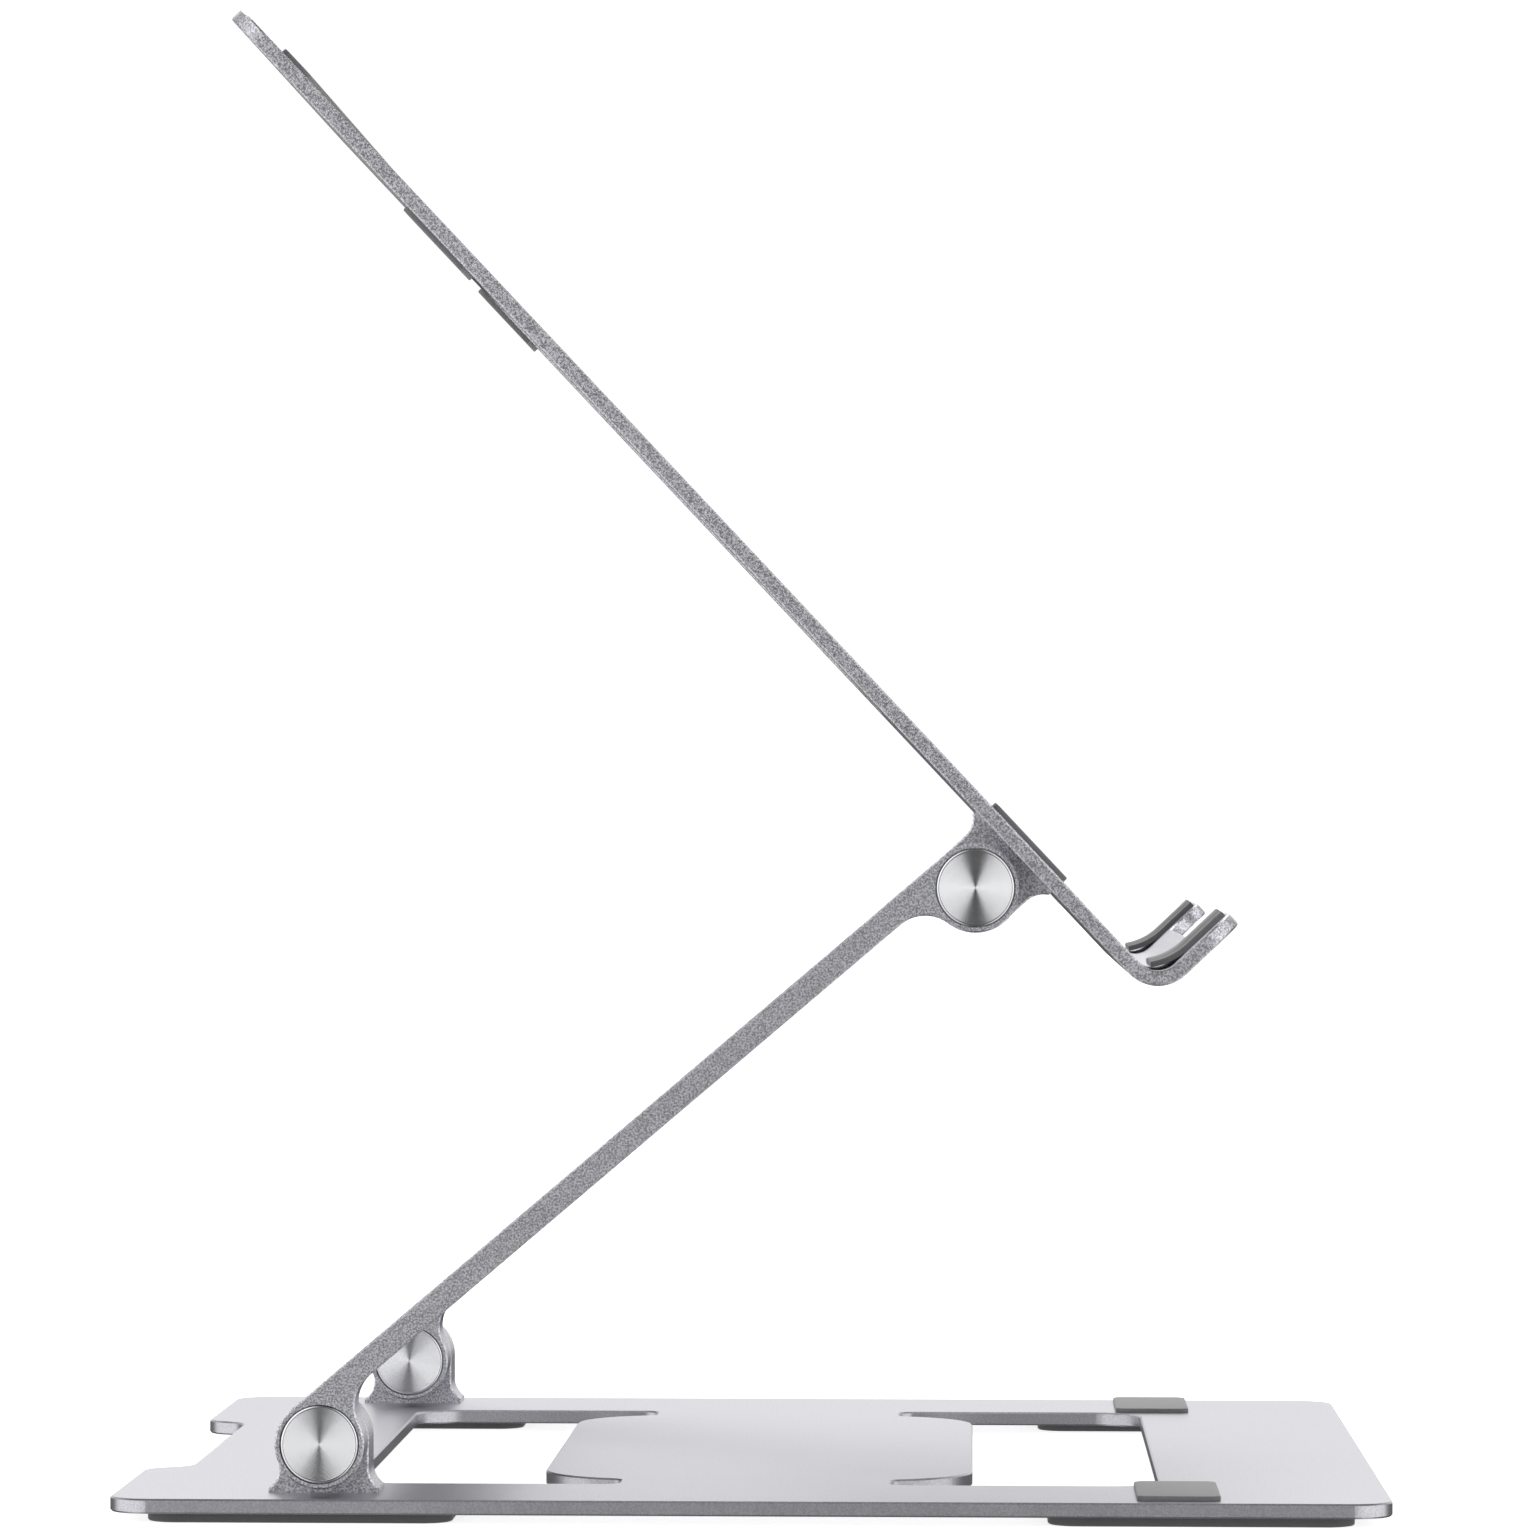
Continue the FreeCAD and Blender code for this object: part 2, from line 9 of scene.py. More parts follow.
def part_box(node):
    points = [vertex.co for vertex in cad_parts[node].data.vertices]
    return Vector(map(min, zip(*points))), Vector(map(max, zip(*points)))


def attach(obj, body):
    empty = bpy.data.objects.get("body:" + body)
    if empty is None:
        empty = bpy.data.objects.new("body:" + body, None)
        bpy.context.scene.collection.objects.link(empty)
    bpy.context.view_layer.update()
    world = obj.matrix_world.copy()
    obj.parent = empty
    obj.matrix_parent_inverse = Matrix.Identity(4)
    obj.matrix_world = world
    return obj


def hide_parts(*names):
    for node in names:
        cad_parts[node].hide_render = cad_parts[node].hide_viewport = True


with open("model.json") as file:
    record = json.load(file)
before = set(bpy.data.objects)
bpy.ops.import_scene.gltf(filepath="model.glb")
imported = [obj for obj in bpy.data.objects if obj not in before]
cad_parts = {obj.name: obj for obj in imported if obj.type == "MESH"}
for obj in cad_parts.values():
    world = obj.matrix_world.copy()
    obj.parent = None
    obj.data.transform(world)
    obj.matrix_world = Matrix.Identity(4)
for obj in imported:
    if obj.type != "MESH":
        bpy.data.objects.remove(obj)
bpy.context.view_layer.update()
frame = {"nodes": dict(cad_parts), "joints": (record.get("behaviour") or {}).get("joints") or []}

bl_info = {
    "name": "Folding Laptop Stand",
    "version": (1, 0, 0),
    "blender": (4, 5, 0),
    "location": "3D View > Sidebar > Stand",
    "description": "Blasted aluminium laptop stand with turned hinge caps and silicone pads",
    "category": "Object",
}

# Everything is in metres. +X points to the user, +Z is up and -Y is the user's left.
MM = 0.001
NEAR = 1e-3 * MM                # points closer than this are one
SHARP = math.radians(35)        # edges that turn more than this look sharp
SIDES = ("left", "right")
BASE_FRAME = Matrix.Identity(4)

# Nodes of the frame that keep their shape, by finish
BLASTED_NODES = ["arm_plate", "tray_plate"] + [
    name + "_bracket_" + side for name in ("base", "tray") for side in SIDES]
STEEL_NODES = [level + "_" + name + "_" + side for level in ("lower", "upper")
               for name in ("shaft", "disc_springs", "lock_nut") for side in SIDES]
POLYMER_NODES = [level + "_friction_washer_" + side for level in ("lower", "upper") for side in SIDES]
SCREW_NODES = ["base_bracket_screws", "tray_bracket_screws"]

# The caps: node name, body, and which way each one faces along Y
CAPS = {
    "arm_lower_cap": ("arm", -1),
    "arm_upper_cap": ("arm", -1),
    "base_bracket_cap": ("base", 1),
    "tray_bracket_cap": ("tray", 1),
}


# Sizes and colours that a user would change

class StageSettings(bpy.types.PropertyGroup):
    """Floor, light and camera."""
    floor_radius: bpy.props.FloatProperty(
        name="Floor radius", description="Radius of the round floor", default=12.0,
        unit="LENGTH", subtype="DISTANCE")
    floor_colour: bpy.props.FloatVectorProperty(
        name="Floor colour", description="Colour of the floor", default=(0.92, 0.92, 0.93),
        size=3, subtype="COLOR", min=0.0, max=1.0)
    floor_glow: bpy.props.FloatProperty(
        name="Floor glow", description="Light that the floor gives off itself", default=0.75)
    back_wall: bpy.props.FloatProperty(
        name="Back wall", description="Brightness of the white wall behind the stand", default=0.95)
    side_walls: bpy.props.FloatProperty(
        name="Side walls", description="Brightness of the white walls beside and before the stand",
        default=1.25)
    dark: bpy.props.FloatProperty(
        name="Dark", description="Brightness of the studio elsewhere", default=0.07)
    top: bpy.props.FloatProperty(
        name="Top", description="Brightness of the studio overhead", default=0.16)
    camera_place: bpy.props.FloatVectorProperty(
        name="Camera place", description="Where the camera stands",
        default=(0.04485, -1.467, 0.1375), size=3, unit="LENGTH", subtype="TRANSLATION")
    camera_turn: bpy.props.FloatVectorProperty(
        name="Camera turn", description="Pitch up, roll and turn to the left of the camera",
        default=(math.radians(0.568), math.radians(0.08), math.radians(1.754)),
        size=3, unit="ROTATION", subtype="EULER")
    lens: bpy.props.FloatProperty(
        name="Lens", description="Focal length on a 36 mm sensor", default=158.4,
        unit="CAMERA", subtype="DISTANCE_CAMERA")


class MetalSettings(bpy.types.PropertyGroup):
    """The blasted and the turned aluminium."""
    colour: bpy.props.FloatVectorProperty(
        name="Colour", description="Colour of the blasted aluminium", default=(0.605, 0.60, 0.64),
        size=3, subtype="COLOR", min=0.0, max=1.0)
    grain: bpy.props.FloatProperty(
        name="Grain", description="Size of the blasted grain", default=0.36 * MM,
        unit="LENGTH", subtype="DISTANCE", precision=5)
    roughness: bpy.props.FloatProperty(
        name="Roughness", description="Roughness of the blasted aluminium", default=0.34)
    cap_colour: bpy.props.FloatVectorProperty(
        name="Cap colour", description="Colour of the turned caps", default=(0.88, 0.885, 0.905),
        size=3, subtype="COLOR", min=0.0, max=1.0)
    groove_pitch: bpy.props.FloatProperty(
        name="Groove pitch", description="From one turned groove of a cap to the next",
        default=0.25 * MM, unit="LENGTH", subtype="DISTANCE", precision=5)
    groove_slope: bpy.props.FloatProperty(
        name="Groove slope", description="Steepest slope of a turned groove",
        default=math.radians(21), unit="ROTATION", subtype="ANGLE")


class SoftSettings(bpy.types.PropertyGroup):
    """The silicone pads and the rubber feet."""
    silicone: bpy.props.FloatVectorProperty(
        name="Silicone", description="Colour of the pads and bumps", default=(0.15, 0.15, 0.153),
        size=3, subtype="COLOR", min=0.0, max=1.0)
    rubber: bpy.props.FloatVectorProperty(
        name="Rubber", description="Colour of the feet", default=(0.06, 0.06, 0.062),
        size=3, subtype="COLOR", min=0.0, max=1.0)
    tray_angle: bpy.props.FloatProperty(
        name="Tray angle", description="Slope of the tray at rest", default=math.radians(46.7),
        unit="ROTATION", subtype="ANGLE")
    foot_corner: bpy.props.FloatProperty(
        name="Foot corner", description="Corner radius of a foot, in plan", default=6 * MM,
        unit="LENGTH", subtype="DISTANCE")
    foot_edge: bpy.props.FloatProperty(
        name="Foot edge", description="Radius of a foot's lower edge", default=0.5 * MM,
        unit="LENGTH", subtype="DISTANCE")
    pad_corner: bpy.props.FloatProperty(
        name="Pad corner", description="Corner radius of a pad, in plan", default=2.2 * MM,
        unit="LENGTH", subtype="DISTANCE")
    pad_edge: bpy.props.FloatProperty(
        name="Pad edge", description="Radius of the edge round a pad's face", default=0.3 * MM,
        unit="LENGTH", subtype="DISTANCE")


class StandSettings(bpy.types.PropertyGroup):
    """All settings of the stand."""
    stage: bpy.props.PointerProperty(type=StageSettings, name="Stage", description="Floor and light")
    metal: bpy.props.PointerProperty(type=MetalSettings, name="Metal", description="Aluminium")
    soft: bpy.props.PointerProperty(type=SoftSettings, name="Soft", description="Pads and feet")


def settings():
    return bpy.context.scene.laptop_stand


# Shader nodes

class Wire:
    """An output of a node. Arithmetic on it adds Math nodes."""

    def __init__(self, nodes, socket):
        self.nodes = nodes
        self.socket = socket

    def math(self, operation, first, second):
        return self.nodes.add("ShaderNodeMath", {"operation": operation}, {0: first, 1: second})

    def __add__(self, other):
        return self.math("ADD", self, other)

    def __radd__(self, other):
        return self.math("ADD", other, self)

    def __sub__(self, other):
        return self.math("SUBTRACT", self, other)

    def __rsub__(self, other):
        return self.math("SUBTRACT", other, self)

    def __mul__(self, other):
        return self.math("MULTIPLY", self, other)

    def __rmul__(self, other):
        return self.math("MULTIPLY", other, self)


class Nodes:
    """A node tree that is built from nothing."""

    def __init__(self, tree):
        self.tree = tree
        tree.nodes.clear()

    def add(self, kind, options=None, inputs=None, output=0):
        """Adds a node: first its options, then the values or wires of its inputs."""
        node = self.tree.nodes.new(kind)
        for name, value in (options or {}).items():
            setattr(node, name, value)
        for name, value in (inputs or {}).items():
            if isinstance(value, Wire):
                self.tree.links.new(value.socket, node.inputs[name])
            else:
                node.inputs[name].default_value = value
        return Wire(self, node.outputs[output]) if node.outputs else None

    def noise(self, place, size, detail=2.0, roughness=0.5):
        """A noise from 0 to 1 whose features are about size across."""
        inputs = {"Vector": place, "Scale": 1 / size, "Detail": detail, "Roughness": roughness}
        return self.add("ShaderNodeTexNoise", {"noise_dimensions": "3D"}, inputs)

    def step(self, value, low, high, out_low=0.0, out_high=1.0):
        """A smooth step of a value from low to high."""
        inputs = {"Value": value, "From Min": low, "From Max": high, "To Min": out_low, "To Max": out_high}
        return self.add("ShaderNodeMapRange", {"interpolation_type": "SMOOTHSTEP"}, inputs)

    def blend(self, factor, first, second):
        """A mix of two colours."""
        colours = {"Factor": factor, 6: (*first, 1.0), 7: (*second, 1.0)}
        return self.add("ShaderNodeMix", {"data_type": "RGBA"}, colours, output=2)

    def bump(self, height, depth):
        return self.add("ShaderNodeBump", {}, {"Height": height, "Distance": depth})


def material(name):
    made = bpy.data.materials.new(name)
    made.use_nodes = True
    return made, Nodes(made.node_tree)


def surface(nodes, **inputs):
    """Ends a material in one Principled shader."""
    named = {name.replace("_", " "): value for name, value in inputs.items()}
    shader = nodes.add("ShaderNodeBsdfPrincipled", {}, named)
    nodes.add("ShaderNodeOutputMaterial", {}, {"Surface": shader})


def object_place(nodes):
    return nodes.add("ShaderNodeTexCoord", {}, {}, output="Object")


def shade(colour, factor):
    return tuple(channel * factor for channel in colour)


def blasted(name, contrast, depth, roughness):
    """Bead-blasted and anodised: a fine sparkling grain with faint clouds."""
    metal = settings().metal
    made, nodes = material(name)
    place = object_place(nodes)
    grain = nodes.noise(place, metal.grain, 2.0, 0.6)
    clouds = nodes.noise(place, 22 * MM, 3.0, 0.55)
    pattern = nodes.step(grain, 0.36, 0.64) * 0.9 + clouds * 0.1
    colour = nodes.blend(pattern, shade(metal.colour, 1 - contrast), shade(metal.colour, 1 + contrast))
    surface(nodes, Base_Color=colour, Metallic=1.0,
            Roughness=roughness + (grain - 0.5) * contrast * 0.4 + (clouds - 0.5) * 0.06,
            Normal=nodes.bump(grain, depth))
    return made


def blasted_aluminium():
    return blasted("blasted_aluminium", 0.46, 0.05 * MM, settings().metal.roughness)


def fine_aluminium():
    """The base was blasted finer than the pieces above it."""
    return blasted("fine_aluminium", 0.12, 0.01 * MM, settings().metal.roughness - 0.02)


def turned_aluminium():
    """Bright turned metal. The grooves are real, and the tool left each ring a little different."""
    metal = settings().metal
    made, nodes = material("turned_aluminium")
    unrolled = nodes.add("ShaderNodeUVMap", {"uv_map": "turning"})
    rings = nodes.add("ShaderNodeMapping", {}, {"Vector": unrolled, "Scale": (0.4, 1.0, 1.0)})
    tone = nodes.noise(rings, 0.06, 3.0, 0.7)
    colour = nodes.blend(tone, shade(metal.cap_colour, 0.92), shade(metal.cap_colour, 1.05))
    surface(nodes, Base_Color=colour, Metallic=1.0, Roughness=0.18 + (tone - 0.5) * 0.08)
    return made


def hinge_steel():
    """Ground steel with fine marks across the hinge axis."""
    made, nodes = material("hinge_steel")
    place = object_place(nodes)
    marks = nodes.add("ShaderNodeMapping", {}, {"Vector": place, "Scale": (0.1, 1.0, 0.1)})
    grind = nodes.noise(marks, 0.12 * MM, 3.0, 0.6)
    stain = nodes.noise(place, 3 * MM, 2.0)
    colour = nodes.blend(stain, (0.40, 0.39, 0.38), (0.55, 0.55, 0.54))
    surface(nodes, Base_Color=colour, Metallic=1.0, Roughness=0.26 + grind * 0.2,
            Normal=nodes.bump(grind, 0.01 * MM))
    return made


def black_steel():
    """Blackened screws with a slightly oily, uneven finish."""
    made, nodes = material("black_steel")
    place = object_place(nodes)
    grain = nodes.noise(place, 0.25 * MM, 3.0)
    colour = nodes.blend(grain, (0.018, 0.018, 0.02), (0.05, 0.048, 0.045))
    surface(nodes, Base_Color=colour, Metallic=0.85, Roughness=0.32 + grain * 0.18,
            Normal=nodes.bump(grain, 0.015 * MM))
    return made


def washer_polymer():
    """Black bearing plastic with faint flow marks."""
    made, nodes = material("washer_polymer")
    place = object_place(nodes)
    flow = nodes.noise(place, 1.6 * MM, 3.0)
    colour = nodes.blend(flow, (0.055, 0.055, 0.058), (0.085, 0.085, 0.088))
    surface(nodes, Base_Color=colour, Roughness=0.42 + flow * 0.1, Normal=nodes.bump(flow, 0.02 * MM))
    return made


def moulded(name, colour, streak, roughness):
    """Moulded rubber: a fine matt skin with faint lengthwise streaks along Y."""
    made, nodes = material(name)
    place = object_place(nodes)
    along = nodes.add("ShaderNodeMapping", {}, {"Vector": place, "Scale": (1.0, 0.03, 1.0)})
    lines = nodes.noise(along, 0.5 * MM, 2.0, 0.6)
    skin = nodes.noise(place, 0.18 * MM, 2.0, 0.6)
    dust = nodes.noise(place, 6 * MM, 3.0, 0.6)
    tone = lines * streak + dust * (1 - streak)
    tint = nodes.blend(tone, shade(colour, 0.80), shade(colour, 1.22))
    surface(nodes, Base_Color=tint, Roughness=roughness + (skin - 0.5) * 0.15,
            Specular_IOR_Level=0.45, Sheen_Weight=0.25, Sheen_Roughness=0.45,
            Normal=nodes.bump(skin * 0.6 + lines * 0.4, 0.03 * MM))
    return made


def grey_silicone():
    return moulded("grey_silicone", settings().soft.silicone, 0.6, 0.46)


def foot_rubber():
    return moulded("foot_rubber", settings().soft.rubber, 0.25, 0.58)


FINISHES = {
    "blasted_aluminium": blasted_aluminium,
    "fine_aluminium": fine_aluminium,
    "turned_aluminium": turned_aluminium,
    "hinge_steel": hinge_steel,
    "black_steel": black_steel,
    "washer_polymer": washer_polymer,
    "grey_silicone": grey_silicone,
    "foot_rubber": foot_rubber,
}
made_finishes = {}


def finish(slot):
    """The material of a slot, made when it is first asked for."""
    if slot not in made_finishes:
        made_finishes[slot] = FINISHES[slot]()
    return made_finishes[slot]


def dress(nodes, slot):
    """Gives nodes of the frame a finish."""
    for name in nodes:
        for place in frame["nodes"][name].material_slots:
            place.material = finish(slot)


# Pieces

def in_frame(node, place):
    """A node's lowest and highest corners in a frame that may be turned."""
    back = place.inverted()
    points = [back @ vertex.co for vertex in frame["nodes"][node].data.vertices]
    axes = list(zip(*points))
    return Vector([min(axis) for axis in axes]), Vector([max(axis) for axis in axes])


def tray_frame():
    """The tray's own frame: its origin is on the upper hinge axis, and +X runs down to the hooks."""
    joint = next(joint for joint in frame["joints"] if joint["name"] == "tray_tilt")
    turn = Matrix.Rotation(settings().soft.tray_angle, 4, "Y")
    return Matrix.Translation(joint["pos_m"]) @ turn


def make_piece(bm, name, node, body, slot, place=BASE_FRAME):
    """Turns a bmesh into a piece that stands for one node of the frame."""
    bmesh.ops.transform(bm, matrix=place, verts=bm.verts)
    bmesh.ops.recalc_face_normals(bm, faces=bm.faces)
    for face in bm.faces:
        face.smooth = True
    for edge in bm.edges:
        edge.smooth = edge.calc_face_angle(math.pi) < SHARP
    mesh = bpy.data.meshes.new(name)
    bm.to_mesh(mesh)
    bm.free()
    mesh.materials.append(finish(slot))
    piece = bpy.data.objects.new(name, mesh)
    bpy.context.collection.objects.link(piece)
    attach(piece, body)
    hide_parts(node)
    return piece


def level_edges(bm, z):
    """The edges that lie at one height."""
    return [edge for edge in bm.edges if all(abs(vertex.co.z - z) < NEAR for vertex in edge.verts)]


def round_edges(bm, edges, radius, segments):
    return bmesh.ops.bevel(bm, geom=edges, offset=radius, segments=segments, profile=0.5,
                           affect="EDGES", material=-1)


def pad_shape(low, high, corner, edge, face_up):
    """A flat moulded pad: rounded in plan, soft round its face, with a fine edge where it is glued."""
    bm = bmesh.new()
    size = Matrix.Diagonal((*(high - low), 1.0))
    bmesh.ops.create_cube(bm, size=1.0, matrix=Matrix.Translation((low + high) / 2) @ size)
    upright = [side for side in bm.edges if abs(side.verts[0].co.z - side.verts[1].co.z) > NEAR]
    round_edges(bm, upright, corner, 10)
    face, back = (high.z, low.z) if face_up else (low.z, high.z)
    round_edges(bm, level_edges(bm, face), edge, 5)
    round_edges(bm, level_edges(bm, back), edge * 0.25, 2)
    return bm


def add_pad(node, body, slot, place, corner, edge, face_up):
    low, high = in_frame(node, place)
    return make_piece(pad_shape(low, high, corner, edge, face_up), node + "_moulded", node, body, slot, place)


def cap_profile(radius, outer, inner, facing, pitch, slope):
    """Half of a cap's section as (radius, y) points, from the middle of its face round to its back."""
    bevel = 0.25 * MM
    disc = 2.0 * MM
    skirt_out = 6.5 * MM
    skirt_in = 6.0 * MM
    steps = 6
    depth = math.tan(slope) * pitch / (2 * math.pi)
    count = int((radius - bevel) / pitch) * steps
    points = []
    for k in range(count + 1):
        wave = 1 - math.cos(2 * math.pi * k / steps)
        points.append((k * pitch / steps, outer - facing * depth * wave))
    points.append((radius - bevel, outer))
    points.append((radius - bevel * 0.3, outer - facing * bevel * 0.3))
    points.append((radius, outer - facing * bevel))
    points.append((radius, outer - facing * disc))
    points.append((skirt_out, outer - facing * disc))
    points.append((skirt_out, inner))
    points.append((skirt_in, inner))
    points.append((skirt_in, outer - facing * disc))
    points.append((0.0, outer - facing * disc))
    return points


def cap_shape(node, facing):
    """A turned disc with real concentric grooves and a skirt behind."""
    metal = settings().metal
    low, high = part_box(node)
    centre = (low + high) / 2
    outer, inner = (low.y, high.y) if facing < 0 else (high.y, low.y)
    radius = (high.z - low.z) / 2
    points = cap_profile(radius, outer, inner, facing, metal.groove_pitch, metal.groove_slope)
    bm = bmesh.new()
    verts = [bm.verts.new((centre.x + r, y, centre.z)) for r, y in points]
    edges = [bm.edges.new(pair) for pair in zip(verts, verts[1:])]
    bmesh.ops.spin(bm, geom=verts + edges, cent=centre, axis=(0, 1, 0), dvec=(0, 0, 0),
                   angle=2 * math.pi, steps=96, use_merge=True)
    bmesh.ops.remove_doubles(bm, verts=bm.verts, dist=NEAR)
    unroll(bm, centre, radius)
    return bm


def unroll(bm, centre, radius):
    """Maps the turned faces: across is the angle round the axis, up is the distance from it."""
    layer = bm.loops.layers.uv.new("turning")
    for face in bm.faces:
        middle = face.calc_center_median() - centre
        around = math.atan2(middle.z, middle.x)
        for loop in face.loops:
            arm = loop.vert.co - centre
            distance = math.hypot(arm.x, arm.z)
            angle = math.atan2(arm.z, arm.x) if distance > NEAR else around
            if angle - around > math.pi:
                angle -= 2 * math.pi
            elif around - angle > math.pi:
                angle += 2 * math.pi
            loop[layer].uv = (angle / (2 * math.pi), distance / radius)


def hook_pad_shape(low, high):
    """A strip down the inner face of a hook. It is straight at the top, then curls away from the bend."""
    thick = 1.5 * MM
    land = 0.35 * MM
    margin = 9 * MM
    soft = 0.25 * MM
    curl_radius = 15 * MM
    straight = 9.5 * MM
    wall = high.x
    face = wall - thick
    half = ((wall, low.y), (face + land + soft, low.y), (face + land, low.y + soft),
            (face + land, low.y + margin), (face, low.y + margin + 2 * land))
    middle = low.y + high.y
    section = list(half) + [(x, middle - y) for x, y in reversed(half)]
    bm = bmesh.new()
    top = bm.faces.new([bm.verts.new((x, y, high.z)) for x, y in section])
    down = bmesh.ops.extrude_face_region(bm, geom=[top])["geom"]
    lower = [item for item in down if isinstance(item, bmesh.types.BMVert)]
    bmesh.ops.translate(bm, verts=lower, vec=(0, 0, -straight))
    end = [item for item in down if isinstance(item, bmesh.types.BMFace)]
    curl_z = high.z - straight
    turn = math.asin((curl_z - low.z) / curl_radius)
    bmesh.ops.spin(bm, geom=end, cent=(wall - curl_radius, 0, curl_z), axis=(0, 1, 0),
                   dvec=(0, 0, 0), angle=turn, steps=14)
    bmesh.ops.delete(bm, geom=end, context="FACES_ONLY")
    return bm


# Operators

class STAND_OT_stage(bpy.types.Operator):
    """Make the floor, the studio light and the camera"""
    bl_idname = "stand.stage"
    bl_label = "Stage"

    def execute(self, context):
        stage = settings().stage
        self.floor(stage)
        self.studio(context.scene, stage)
        self.lights()
        self.camera(context.scene, stage)
        context.scene.view_settings.view_transform = "Standard"
        return {"FINISHED"}

    def floor(self, stage):
        bm = bmesh.new()
        bmesh.ops.create_circle(bm, cap_ends=True, segments=96, radius=stage.floor_radius)
        mesh = bpy.data.meshes.new("floor")
        bm.to_mesh(mesh)
        bm.free()
        made, nodes = material("floor_paper")
        place = object_place(nodes)
        fibre = nodes.noise(place, 30 * MM, 3.0)
        tint = nodes.blend(fibre, shade(stage.floor_colour, 0.99), stage.floor_colour)
        surface(nodes, Base_Color=tint, Roughness=0.9, Specular_IOR_Level=0.2,
                Emission_Color=(1.0, 1.0, 1.0, 1.0), Emission_Strength=stage.floor_glow)
        mesh.materials.append(made)
        floor = bpy.data.objects.new("floor", mesh)
        bpy.context.collection.objects.link(floor)
        floor.visible_glossy = False

    def studio(self, scene, stage):
        """White walls round the stand, with a dark slot for the camera. Seen directly, it is plain white."""
        world = bpy.data.worlds.new("studio")
        world.use_nodes = True
        scene.world = world
        nodes = Nodes(world.node_tree)
        direction = nodes.add("ShaderNodeTexCoord", {}, {}, output="Generated")
        across, depth, height = [nodes.add("ShaderNodeSeparateXYZ", {}, {"Vector": direction}, output=axis)
                                 for axis in "XYZ"]
        across = nodes.add("ShaderNodeMath", {"operation": "ABSOLUTE"}, {0: across})
        behind = (nodes.step(depth, 0.25, 0.6) * nodes.step(across, 0.35, 0.6, 1.0, 0.5)
                  * nodes.step(height, -0.1, 0.02))
        beside = nodes.step(across, 0.11, 0.25) * nodes.step(depth, 0.15, 0.5, 1.0, 0.0)
        walls = behind * (stage.back_wall - stage.dark) + beside * (stage.side_walls - stage.dark)
        overhead = nodes.step(height, 0.70, 0.77)
        strength = (walls + stage.dark) * (1 - overhead) + overhead * stage.top
        strength = strength * nodes.step(height, -0.2, 0.0, 0.75, 1.0)
        seen = nodes.add("ShaderNodeLightPath", {}, {}, output="Is Camera Ray")
        strength = strength + seen * (1.05 - strength)
        light = nodes.add("ShaderNodeBackground", {}, {"Color": (1, 1, 1, 1), "Strength": strength})
        nodes.add("ShaderNodeOutputWorld", {}, {"Surface": light})

    def lights(self):
        """Soft boxes: name, place, width, height and power. Each one points at the stand."""
        aim = Vector((0.0, 0.0, 0.12))
        boxes = (
            ("back_softbox", (0.0, 1.2, 1.5), 1.6, 1.2, 11.0),
            ("high_softbox", (0.2, -1.3, 2.2), 1.0, 0.8, 3.0),
        )
        for name, place, width, height, power in boxes:
            light = bpy.data.lights.new(name, "AREA")
            light.shape = "RECTANGLE"
            light.size = width
            light.size_y = height
            light.energy = power
            lamp = bpy.data.objects.new(name, light)
            lamp.location = place
            lamp.rotation_mode = "QUATERNION"
            lamp.rotation_quaternion = (aim - lamp.location).to_track_quat("-Z", "Y")
            bpy.context.collection.objects.link(lamp)

    def camera(self, scene, stage):
        pitch, roll, turn = stage.camera_turn
        data = bpy.data.cameras.new("camera")
        data.sensor_width = 36.0
        data.lens = stage.lens
        data.clip_start = 0.05
        data.clip_end = 100.0
        camera = bpy.data.objects.new("camera", data)
        bpy.context.collection.objects.link(camera)
        camera.matrix_world = (Matrix.Translation(stage.camera_place) @ Matrix.Rotation(turn, 4, "Z")
                               @ Matrix.Rotation(math.pi / 2 + pitch, 4, "X") @ Matrix.Rotation(roll, 4, "Z"))
        scene.camera = camera


class STAND_OT_aluminium(bpy.types.Operator):
    """Finish the base, arm, tray and hinge brackets in blasted aluminium"""
    bl_idname = "stand.aluminium"
    bl_label = "Plates and brackets"

    def execute(self, context):
        dress(BLASTED_NODES, "blasted_aluminium")
        dress(["base_plate"], "fine_aluminium")
        return {"FINISHED"}


class STAND_OT_hinge_works(bpy.types.Operator):
    """Finish the shafts, springs, nuts, friction washers and screws"""
    bl_idname = "stand.hinge_works"
    bl_label = "Hinge works"

    def execute(self, context):
        dress(STEEL_NODES, "hinge_steel")
        dress(POLYMER_NODES, "washer_polymer")
        dress(SCREW_NODES, "black_steel")
        return {"FINISHED"}


class STAND_OT_caps(bpy.types.Operator):
    """Turn the eight hinge caps"""
    bl_idname = "stand.caps"
    bl_label = "Hinge caps"

    def execute(self, context):
        for name, (body, facing) in CAPS.items():
            for side in SIDES:
                node = name + "_" + side
                make_piece(cap_shape(node, facing), node + "_turned", node, body, "turned_aluminium")
        return {"FINISHED"}


class STAND_OT_feet(bpy.types.Operator):
    """Mould the four rubber feet"""
    bl_idname = "stand.feet"
    bl_label = "Feet"

    def execute(self, context):
        soft = settings().soft
        for end in ("front", "rear"):
            for side in SIDES:
                node = "foot_" + end + "_" + side
                add_pad(node, "base", "foot_rubber", BASE_FRAME, soft.foot_corner, soft.foot_edge, False)
        return {"FINISHED"}


class STAND_OT_bumps(bpy.types.Operator):
    """Mould the bumps that keep the folded plates apart"""
    bl_idname = "stand.bumps"
    bl_label = "Bumps"

    def execute(self, context):
        soft = settings().soft
        for side in SIDES:
            add_pad("base_bump_" + side, "base", "grey_silicone", BASE_FRAME,
                    soft.pad_corner, soft.pad_edge, True)
            add_pad("tray_bump_" + side, "tray", "grey_silicone", tray_frame(),
                    soft.pad_corner, soft.pad_edge, False)
        return {"FINISHED"}


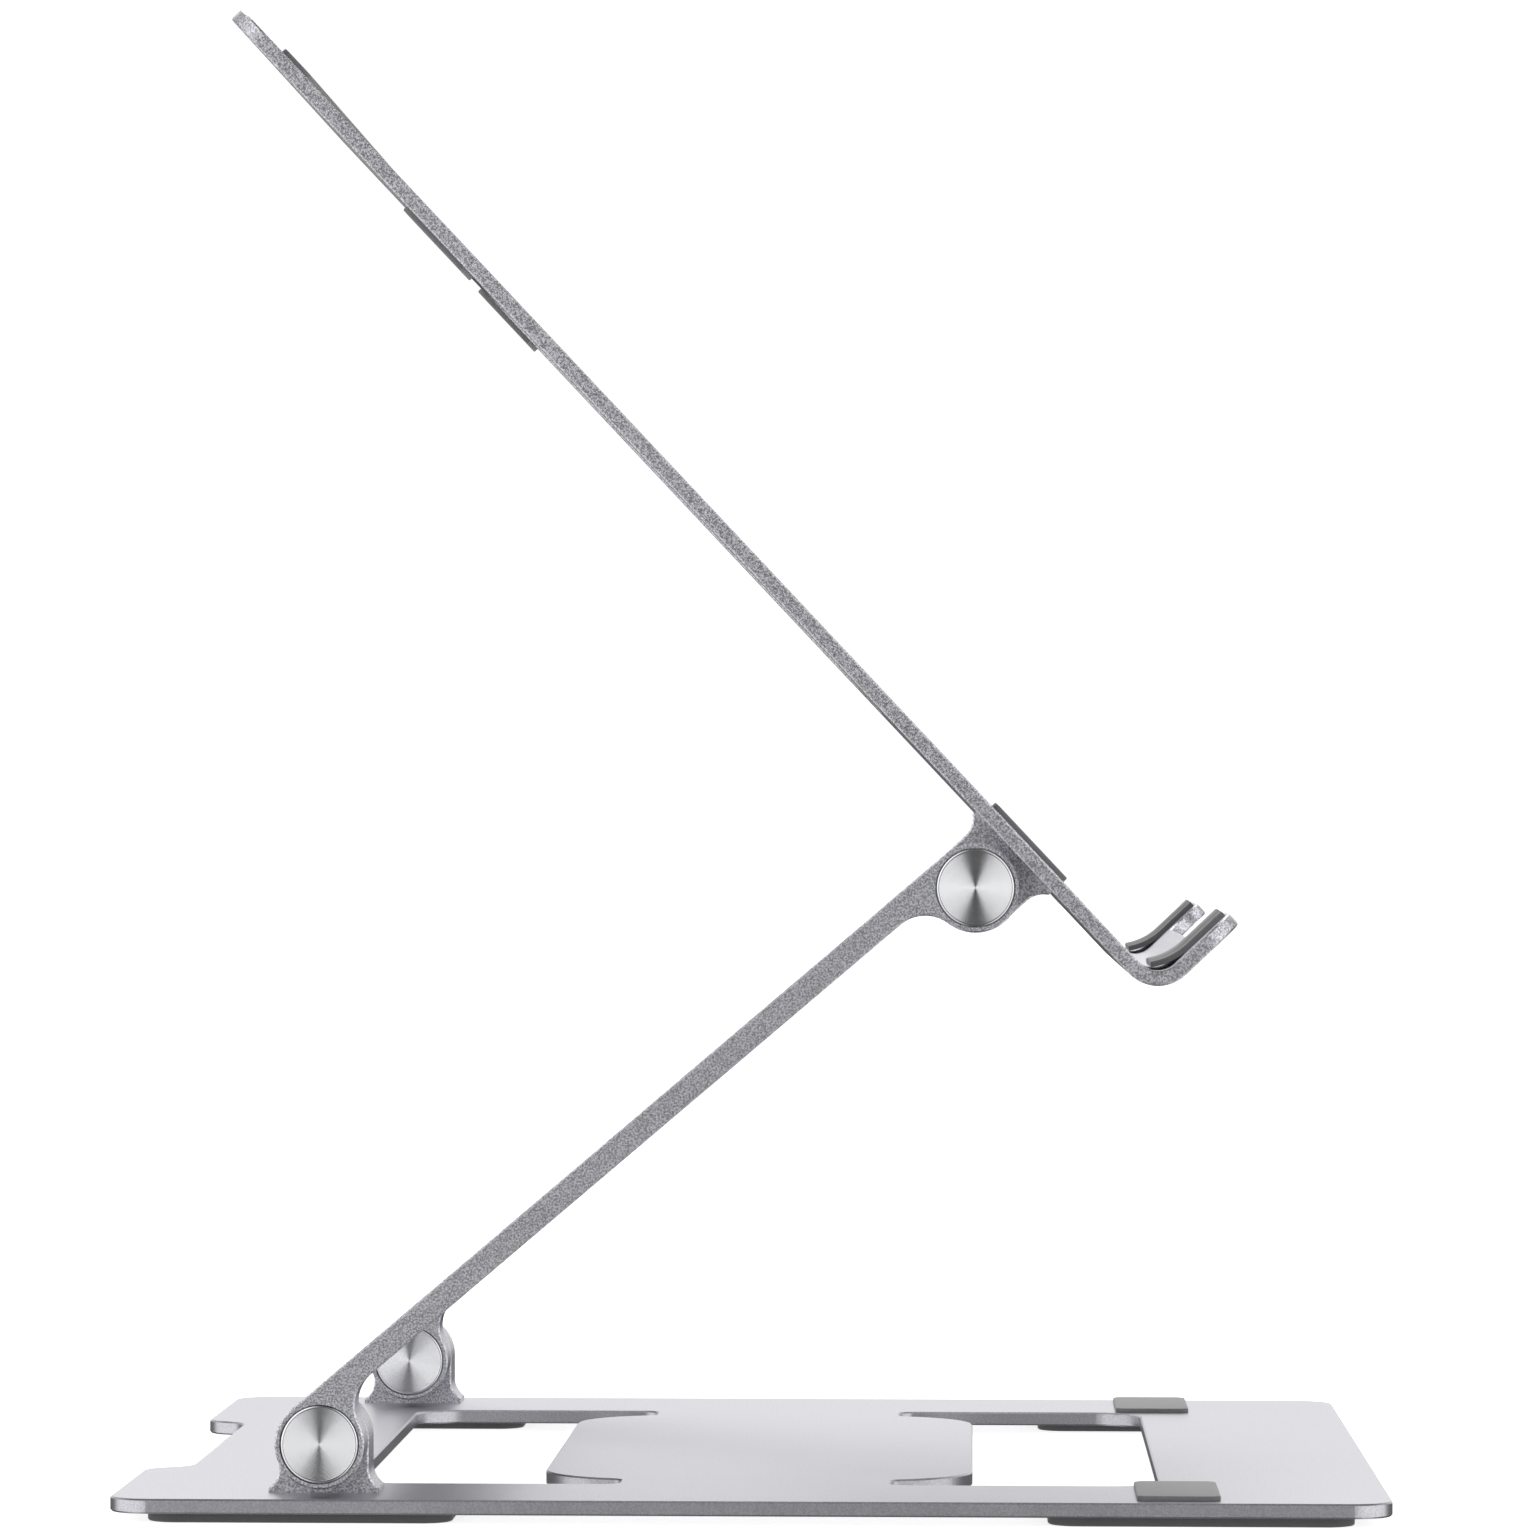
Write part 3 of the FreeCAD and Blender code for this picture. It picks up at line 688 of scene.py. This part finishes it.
class STAND_OT_rests(bpy.types.Operator):
    """Mould the strip and the two pads that the laptop lies on"""
    bl_idname = "stand.rests"
    bl_label = "Laptop rests"

    def execute(self, context):
        soft = settings().soft
        for node in ["support_strip"] + ["lower_pad_" + side for side in SIDES]:
            add_pad(node, "tray", "grey_silicone", tray_frame(), soft.pad_corner, soft.pad_edge, True)
        return {"FINISHED"}


class STAND_OT_hook_pads(bpy.types.Operator):
    """Mould the pads inside the hooks"""
    bl_idname = "stand.hook_pads"
    bl_label = "Hook pads"

    def execute(self, context):
        place = tray_frame()
        for side in SIDES:
            node = "hook_pad_" + side
            low, high = in_frame(node, place)
            make_piece(hook_pad_shape(low, high), node + "_moulded", node, "tray",
                       "grey_silicone", place)
        return {"FINISHED"}


class STAND_PT_panel(bpy.types.Panel):
    """The stand's pieces and settings"""
    bl_idname = "STAND_PT_panel"
    bl_label = "Laptop stand"
    bl_space_type = "VIEW_3D"
    bl_region_type = "UI"
    bl_category = "Stand"

    def draw(self, context):
        for group in (settings().stage, settings().metal, settings().soft):
            box = self.layout.box()
            for name in group.__annotations__:
                box.prop(group, name)
        for operator in OPERATORS:
            self.layout.operator(operator.bl_idname)


OPERATORS = (
    STAND_OT_stage,
    STAND_OT_aluminium,
    STAND_OT_hinge_works,
    STAND_OT_caps,
    STAND_OT_feet,
    STAND_OT_bumps,
    STAND_OT_rests,
    STAND_OT_hook_pads,
)
CLASSES = (StageSettings, MetalSettings, SoftSettings, StandSettings, *OPERATORS, STAND_PT_panel)


def register():
    for item in CLASSES:
        bpy.utils.register_class(item)
    bpy.types.Scene.laptop_stand = bpy.props.PointerProperty(
        type=StandSettings, name="Laptop stand", description="Settings of the laptop stand")


def unregister():
    del bpy.types.Scene.laptop_stand
    for item in reversed(CLASSES):
        bpy.utils.unregister_class(item)


def main():
    register()
    bpy.ops.stand.stage()
    bpy.ops.stand.aluminium()
    bpy.ops.stand.hinge_works()
    bpy.ops.stand.caps()
    bpy.ops.stand.feet()
    bpy.ops.stand.bumps()
    bpy.ops.stand.rests()
    bpy.ops.stand.hook_pads()


if __name__ == "__main__":
    main()
